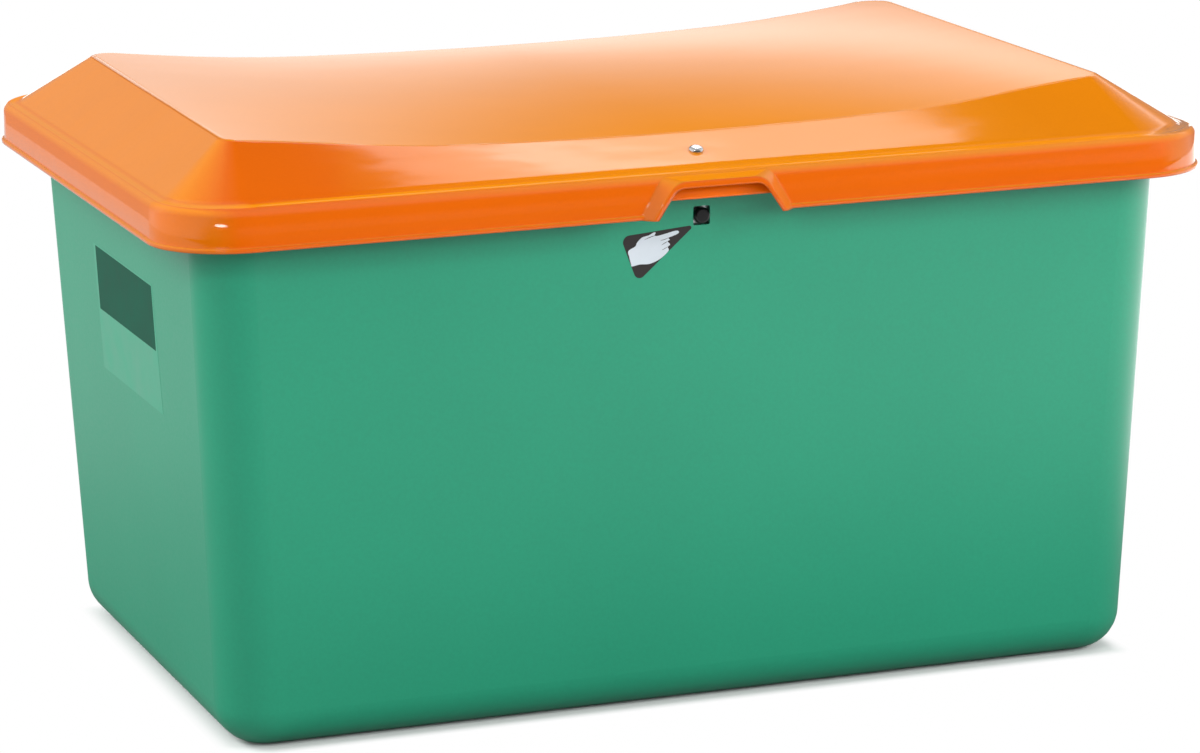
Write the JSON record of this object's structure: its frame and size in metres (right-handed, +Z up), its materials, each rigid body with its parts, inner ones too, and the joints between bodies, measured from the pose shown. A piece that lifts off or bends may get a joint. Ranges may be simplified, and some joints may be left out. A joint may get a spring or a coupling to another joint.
{
  "type": "grit bin",
  "caption": "Tapered roadside salt and grit bin with a hinged sagging lid, grip hood and sprung push-button catch.",
  "frame": {"origin": "on the floor under the middle of the lid, the bottom centre of the bounding box", "axes": "+X along the bin to the viewer's right when facing its front, +Y from the front with the grip hood to the hinges at the back, +Z up"},
  "size_m": [1.2, 0.8446, 0.6628],
  "materials": {
    "tub": "satin moulded glass-fibre plastic, faintly mottled",
    "lid": "glossy gelcoat",
    "button": "glossy moulded plastic",
    "galvanised_steel": "zinc-plated",
    "bright_steel": "polished stainless"
  },
  "bodies": {
    "bin": {"tub": "tub", "tub_leaf_left": "galvanised_steel", "tub_leaf_right": "galvanised_steel", "hinge_pin_left": "bright_steel", "hinge_pin_right": "bright_steel", "pin_clips": "galvanised_steel", "tub_leaf_bolts": "galvanised_steel", "tub_leaf_nuts": "galvanised_steel", "tub_plate_left": "galvanised_steel", "tub_plate_right": "galvanised_steel"},
    "lid_assembly": {"lid": "lid", "lid_leaf_left": "galvanised_steel", "lid_leaf_right": "galvanised_steel", "lid_leaf_bolts": "galvanised_steel", "lid_leaf_nuts": "galvanised_steel", "lid_plate_left": "galvanised_steel", "lid_plate_right": "galvanised_steel", "dome_bolt": "bright_steel", "catch_washer": "galvanised_steel", "catch_nut": "galvanised_steel", "catch_stirrup": "galvanised_steel", "catch_spring": "bright_steel"},
    "button": {"push_button": "button", "stem_clip": "galvanised_steel"}
  },
  "joints": [
    {"name": "lid_hinge", "type": "hinge", "parent": "bin", "child": "lid_assembly", "pos_m": [0, 0.41625, 0.575], "axis": [-1, 0, 0], "range_deg": [0, 100]},
    {"name": "button_press", "type": "slide", "parent": "lid_assembly", "child": "button", "axis": [0, 1, 0], "range_m": [0, 0.009], "stiffness_N_per_m": 600, "deforming": ["catch_spring"]}
  ]
}
